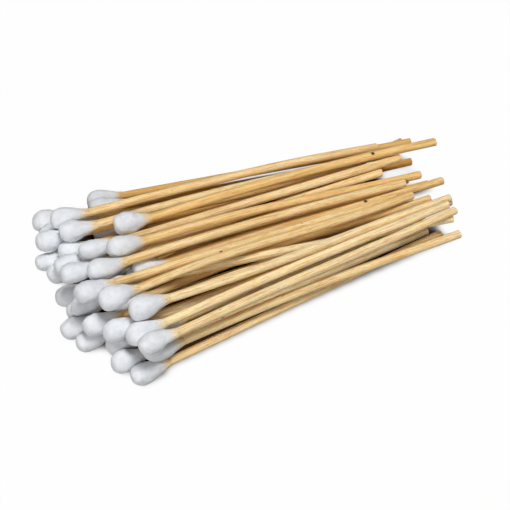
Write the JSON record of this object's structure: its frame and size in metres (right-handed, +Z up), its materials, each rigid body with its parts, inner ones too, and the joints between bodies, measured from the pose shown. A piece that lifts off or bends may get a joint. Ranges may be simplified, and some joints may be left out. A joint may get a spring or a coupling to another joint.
{
  "type": "bundle of cotton swabs",
  "caption": "Loose bundle of single-ended wooden cotton swabs lying side by side, cotton tips heaped at one end and bare stick ends fanned out at the other.",
  "frame": {"origin": "on the table under the middle of the bundle's box", "axes": "+X along the sticks from the cotton tips to the cut ends, +Z up"},
  "size_m": [0.1226, 0.0714, 0.0201],
  "materials": {
    "birch_stick": "smooth turned birch, unvarnished",
    "cotton_wool": "matt wound cotton with loose fibres"
  },
  "bodies": {
    "root": {"stick_01": "birch_stick", "stick_02": "birch_stick", "stick_03": "birch_stick", "stick_04": "birch_stick", "stick_05": "birch_stick", "stick_06": "birch_stick", "stick_07": "birch_stick", "stick_08": "birch_stick", "stick_09": "birch_stick", "stick_10": "birch_stick", "stick_11": "birch_stick", "stick_12": "birch_stick", "stick_13": "birch_stick", "stick_14": "birch_stick", "stick_15": "birch_stick", "stick_16": "birch_stick", "stick_17": "birch_stick", "stick_18": "birch_stick", "stick_19": "birch_stick", "stick_20": "birch_stick", "stick_21": "birch_stick", "stick_22": "birch_stick", "stick_23": "birch_stick", "stick_24": "birch_stick", "stick_25": "birch_stick", "stick_26": "birch_stick", "stick_27": "birch_stick", "stick_28": "birch_stick", "stick_29": "birch_stick", "stick_30": "birch_stick", "stick_31": "birch_stick", "stick_32": "birch_stick", "stick_33": "birch_stick", "stick_34": "birch_stick", "stick_35": "birch_stick", "stick_36": "birch_stick", "stick_37": "birch_stick", "stick_38": "birch_stick", "stick_39": "birch_stick", "stick_40": "birch_stick", "stick_41": "birch_stick", "cotton_tips_01": "cotton_wool", "cotton_tips_02": "cotton_wool", "cotton_tips_03": "cotton_wool", "cotton_tips_04": "cotton_wool", "cotton_tips_05": "cotton_wool", "cotton_tips_06": "cotton_wool", "cotton_tips_07": "cotton_wool", "cotton_tips_08": "cotton_wool", "cotton_tips_09": "cotton_wool", "cotton_tips_10": "cotton_wool", "cotton_tips_11": "cotton_wool", "cotton_tips_12": "cotton_wool", "cotton_tips_13": "cotton_wool", "cotton_tips_14": "cotton_wool"}
  },
  "joints": []
}
